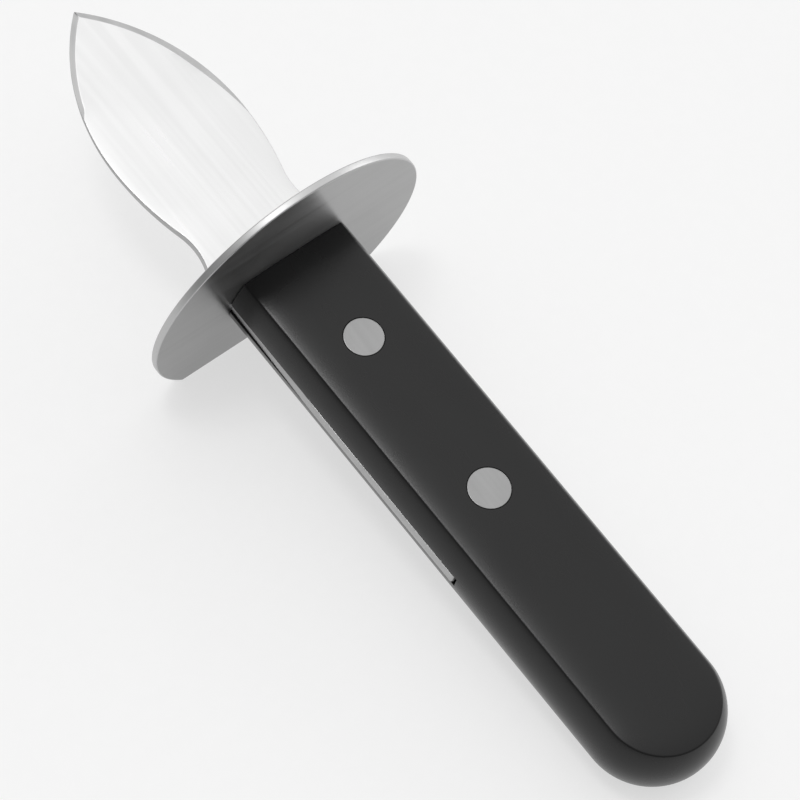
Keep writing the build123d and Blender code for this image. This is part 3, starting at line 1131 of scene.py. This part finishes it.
def add_camera(looks):
    """The camera looks from the view's angles, set out from the knife's own axes."""
    azimuth, elevation, roll = looks.view_azimuth, looks.view_elevation, looks.view_roll
    level = np.array([math.cos(azimuth), math.sin(azimuth), 0.0])
    out = np.array([math.sin(azimuth), -math.cos(azimuth), 0.0])
    back = out * math.cos(elevation) + np.array([0.0, 0.0, math.sin(elevation)])
    upright = np.cross(back, level)
    right = level * math.cos(roll) + upright * math.sin(roll)
    up = upright * math.cos(roll) - level * math.sin(roll)
    aim = np.array([looks.aim_along, looks.aim_across, 0.0])
    place = to_frame(aim + looks.view_distance * back)
    turned = Matrix((np.array([right, up, back]) @ KNIFE_AXES).T.tolist()).to_4x4()
    camera = bpy.data.cameras.new("camera")
    camera.lens = looks.lens
    camera.sensor_width = SENSOR_WIDTH
    camera.clip_start = NEAREST_SEEN
    bpy.context.scene.camera = add_object("camera", camera, Matrix.Translation(place) @ turned)


class OYSTERKNIFE_OT_stage(bpy.types.Operator):
    """Make the pale floor, the lights and the camera"""

    bl_idname = "oyster_knife.stage"
    bl_label = "Floor, lights and camera"

    def execute(self, context):
        looks = settings().studio
        half = looks.floor_size / 2
        corners = [(-half, -half), (half, -half), (half, half), (-half, half)]
        mesh = bpy.data.meshes.new("floor")
        mesh.from_pydata([(x, y, SOLID_BOX[0][2]) for x, y in corners], [], [(0, 1, 2, 3)])
        mesh.materials.append(pale_floor(looks))
        floor = add_object("floor", mesh)
        studio_sky(looks)
        add_lamp("key", looks)
        add_lamp("fill", looks)
        add_camera(looks)
        context.scene.view_settings.view_transform = "Standard"
        return {"FINISHED"}


class OYSTERKNIFE_OT_blade(bpy.types.Operator):
    """Make the blade, one ground steel plate with its leaf and its tang"""

    bl_idname = "oyster_knife.blade"
    bl_label = "Blade"

    def execute(self, context):
        shape, rivets = settings().blade, settings().rivets
        hole_radius = rivets.tube_diameter / 2 + rivets.fit
        patches = [*leaf_patches(shape), *tang_patches(shape, hole_radius)]
        steels = [brushed_steel("leaf"), brushed_steel("bevel")]
        piece = make_piece("ground_blade", patches, steels, BLADE_SHARP_ANGLE)
        stand_for(piece, "blade")
        return {"FINISHED"}


class OYSTERKNIFE_OT_guard(bpy.types.Operator):
    """Make the guard, a steel disc with a slot for the tang and one flat"""

    bl_idname = "oyster_knife.guard"
    bl_label = "Guard"

    def execute(self, context):
        shape = settings().guard
        half_width = HANDLE_HALF_WIDTH - settings().blade.tang_relief + shape.slot_fit
        half_height = TANG_HALF_THICKNESS + shape.slot_fit
        patches = guard_patches(shape, half_width, half_height)
        steels = [brushed_steel("guard", settings().finishes.guard_draw), brushed_steel("rim")]
        piece = make_piece("guard_disc", patches, steels)
        map_grain(piece)
        stand_for(piece, "guard")
        return {"FINISHED"}


class OYSTERKNIFE_OT_handle(bpy.types.Operator):
    """Make the moulded handle with its slot and its rivet seats"""

    bl_idname = "oyster_knife.handle"
    bl_label = "Handle"

    def execute(self, context):
        patches = handle_patches(settings().handle, settings().rivets)
        piece = make_piece("moulded_handle", patches, [handle_plastic()])
        mark_edges(piece)
        stand_for(piece, "handle")
        return {"FINISHED"}


class OYSTERKNIFE_OT_rivets(bpy.types.Operator):
    """Make both rivets, each a pin half and a tube half"""

    bl_idname = "oyster_knife.rivets"
    bl_label = "Rivets"

    def execute(self, context):
        steel = brushed_steel("rivet")
        profiles = {"pin": pin_profile, "tube": tube_profile}
        for end, place, head_radius in zip(RIVET_ENDS, RIVET_PLACES, HEAD_RADII):
            for half, profile in profiles.items():
                surface = lathe(place, profile(settings().rivets, head_radius))
                piece = make_piece(f"{end}_{half}_half", [surface], [steel])
                stand_for(piece, f"{end}_rivet_{half}")
        return {"FINISHED"}


OPERATORS = (
    OYSTERKNIFE_OT_stage,
    OYSTERKNIFE_OT_blade,
    OYSTERKNIFE_OT_guard,
    OYSTERKNIFE_OT_handle,
    OYSTERKNIFE_OT_rivets,
)


class OYSTERKNIFE_PT_panel(bpy.types.Panel):
    """Lists the knife's pieces and its settings"""

    bl_label = "Oyster Knife"
    bl_idname = "OYSTERKNIFE_PT_panel"
    bl_space_type = "VIEW_3D"
    bl_region_type = "UI"
    bl_category = "Oyster Knife"

    def draw(self, context):
        for operator in OPERATORS:
            self.layout.operator(operator.bl_idname)
        for group_name in KnifeSettings.__annotations__:
            group = getattr(context.scene.oyster_knife, group_name)
            box = self.layout.box()
            for name in type(group).__annotations__:
                box.prop(group, name)


GROUPS = (BladeShape, GuardShape, HandleShape, RivetShape, Finishes, Studio, KnifeSettings)
CLASSES = (*GROUPS, *OPERATORS, OYSTERKNIFE_PT_panel)


def register():
    for entry in CLASSES:
        bpy.utils.register_class(entry)
    bpy.types.Scene.oyster_knife = PointerProperty(type=KnifeSettings)


def unregister():
    del bpy.types.Scene.oyster_knife
    for entry in reversed(CLASSES):
        bpy.utils.unregister_class(entry)


def main():
    register()
    bpy.ops.oyster_knife.stage()
    bpy.ops.oyster_knife.blade()
    bpy.ops.oyster_knife.guard()
    bpy.ops.oyster_knife.handle()
    bpy.ops.oyster_knife.rivets()


if __name__ == "__main__":
    main()
